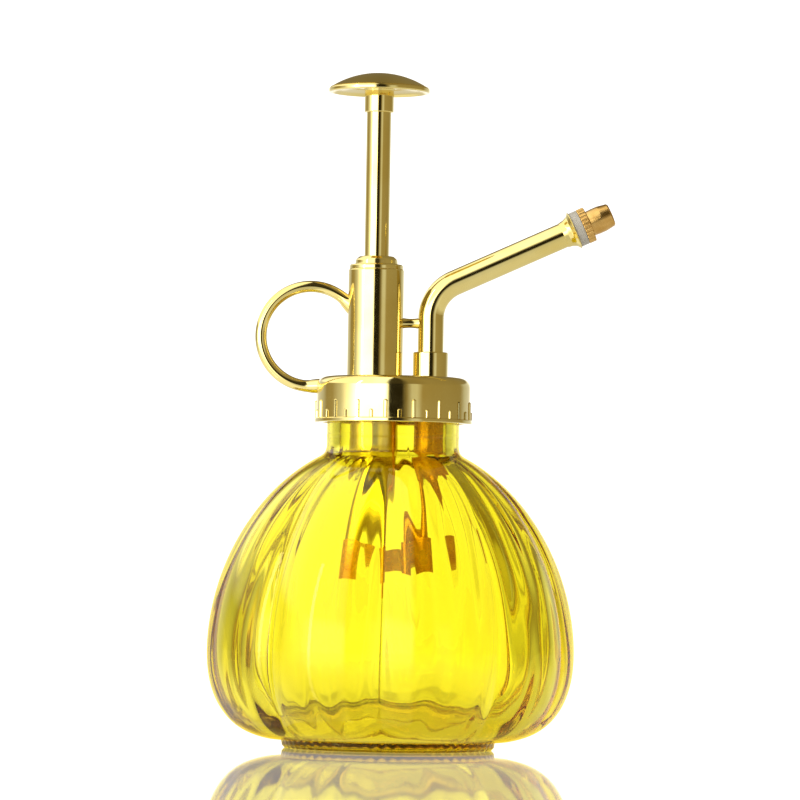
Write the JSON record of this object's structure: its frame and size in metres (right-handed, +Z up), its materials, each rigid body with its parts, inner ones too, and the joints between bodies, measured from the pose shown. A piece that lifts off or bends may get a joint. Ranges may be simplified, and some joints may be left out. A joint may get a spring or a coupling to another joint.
{
  "type": "hand_mister",
  "caption": "Hand mister with a ribbed yellow glass bottle and a gold-plated top-press pump head with finger ring and angled spout",
  "frame": {"origin": "centre of the bottle's foot on the surface it stands on, where the foot mount sits", "axes": "+Z is up along the bottle's axis, +X is the side the spout points to, -X the finger ring's side"},
  "size_m": [0.1002, 0.0912, 0.1684],
  "materials": {
    "glass_bottle": "gloss",
    "cap_gasket": "matte",
    "screw_cap": "polished",
    "pump_barrel": "polished",
    "barrel_gland": "polished",
    "finger_ring": "polished",
    "spout_socket": "polished",
    "spout_bridge": "polished",
    "spout_tube": "polished",
    "spout_collar": "polished",
    "nozzle_washer": "matte",
    "nozzle": "satin",
    "spray_core": "matte",
    "thumb_button": "polished",
    "plunger_rod": "polished",
    "piston": "satin",
    "piston_seal": "matte",
    "piston_nut": "satin",
    "return_spring": "satin",
    "pump_cylinder": "satin",
    "valve_block": "satin",
    "ball_cage": "satin",
    "inlet_ball": "gloss",
    "outlet_ball": "gloss",
    "delivery_tube": "satin",
    "dip_tube": "satin"
  },
  "bodies": {
    "bottle": {"glass_bottle": "glass_bottle"},
    "seal": {"cap_gasket": "cap_gasket"},
    "pump_head": {"screw_cap": "screw_cap", "pump_barrel": "pump_barrel", "barrel_gland": "barrel_gland", "finger_ring": "finger_ring", "spout_socket": "spout_socket", "spout_bridge": "spout_bridge", "spout_tube": "spout_tube", "spout_collar": "spout_collar", "pump_cylinder": "pump_cylinder", "valve_block": "valve_block", "ball_cage": "ball_cage", "delivery_tube": "delivery_tube", "dip_tube": "dip_tube", "return_spring": "return_spring"},
    "plunger": {"thumb_button": "thumb_button", "plunger_rod": "plunger_rod", "piston": "piston", "piston_seal": "piston_seal", "piston_nut": "piston_nut"},
    "inlet_valve": {"inlet_ball": "inlet_ball"},
    "outlet_valve": {"outlet_ball": "outlet_ball"},
    "nozzle_seal": {"nozzle_washer": "nozzle_washer"},
    "nozzle_tip": {"nozzle": "nozzle", "spray_core": "spray_core"}
  },
  "joints": [
    {"name": "cap_lift", "type": "slide", "parent": "bottle", "child": "seal", "axis": [0, 0, 1], "range_m": [0, 0.006]},
    {"name": "cap_turn", "type": "hinge", "parent": "seal", "child": "pump_head", "pos_m": [0, 0, 0.0924], "axis": [0, 0, 1], "range_deg": [0, 725]},
    {"name": "plunger_press", "type": "slide", "parent": "pump_head", "child": "plunger", "axis": [0, 0, -1], "range_m": [0, 0.0358], "stiffness_N_per_m": 200, "springref_m": -0.02, "deforming": ["return_spring"]},
    {"name": "inlet_lift", "type": "slide", "parent": "pump_head", "child": "inlet_valve", "axis": [0, 0, 1], "range_m": [0, 0.0013]},
    {"name": "outlet_lift", "type": "slide", "parent": "pump_head", "child": "outlet_valve", "axis": [0, 0, 1], "range_m": [0, 0.0011]},
    {"name": "nozzle_out", "type": "slide", "parent": "pump_head", "child": "nozzle_seal", "axis": [0.9092, 0, 0.4163], "range_m": [0, 0.001]},
    {"name": "nozzle_turn", "type": "hinge", "parent": "nozzle_seal", "child": "nozzle_tip", "pos_m": [0.04745, 0, 0.1312], "axis": [0.9092, 0, 0.4163], "range_deg": [0, 725]}
  ],
  "couplings": [
    {"joint": "cap_turn", "follows": "cap_lift", "rad_per_m": 2094.4},
    {"joint": "nozzle_turn", "follows": "nozzle_out", "rad_per_m": 12566}
  ]
}
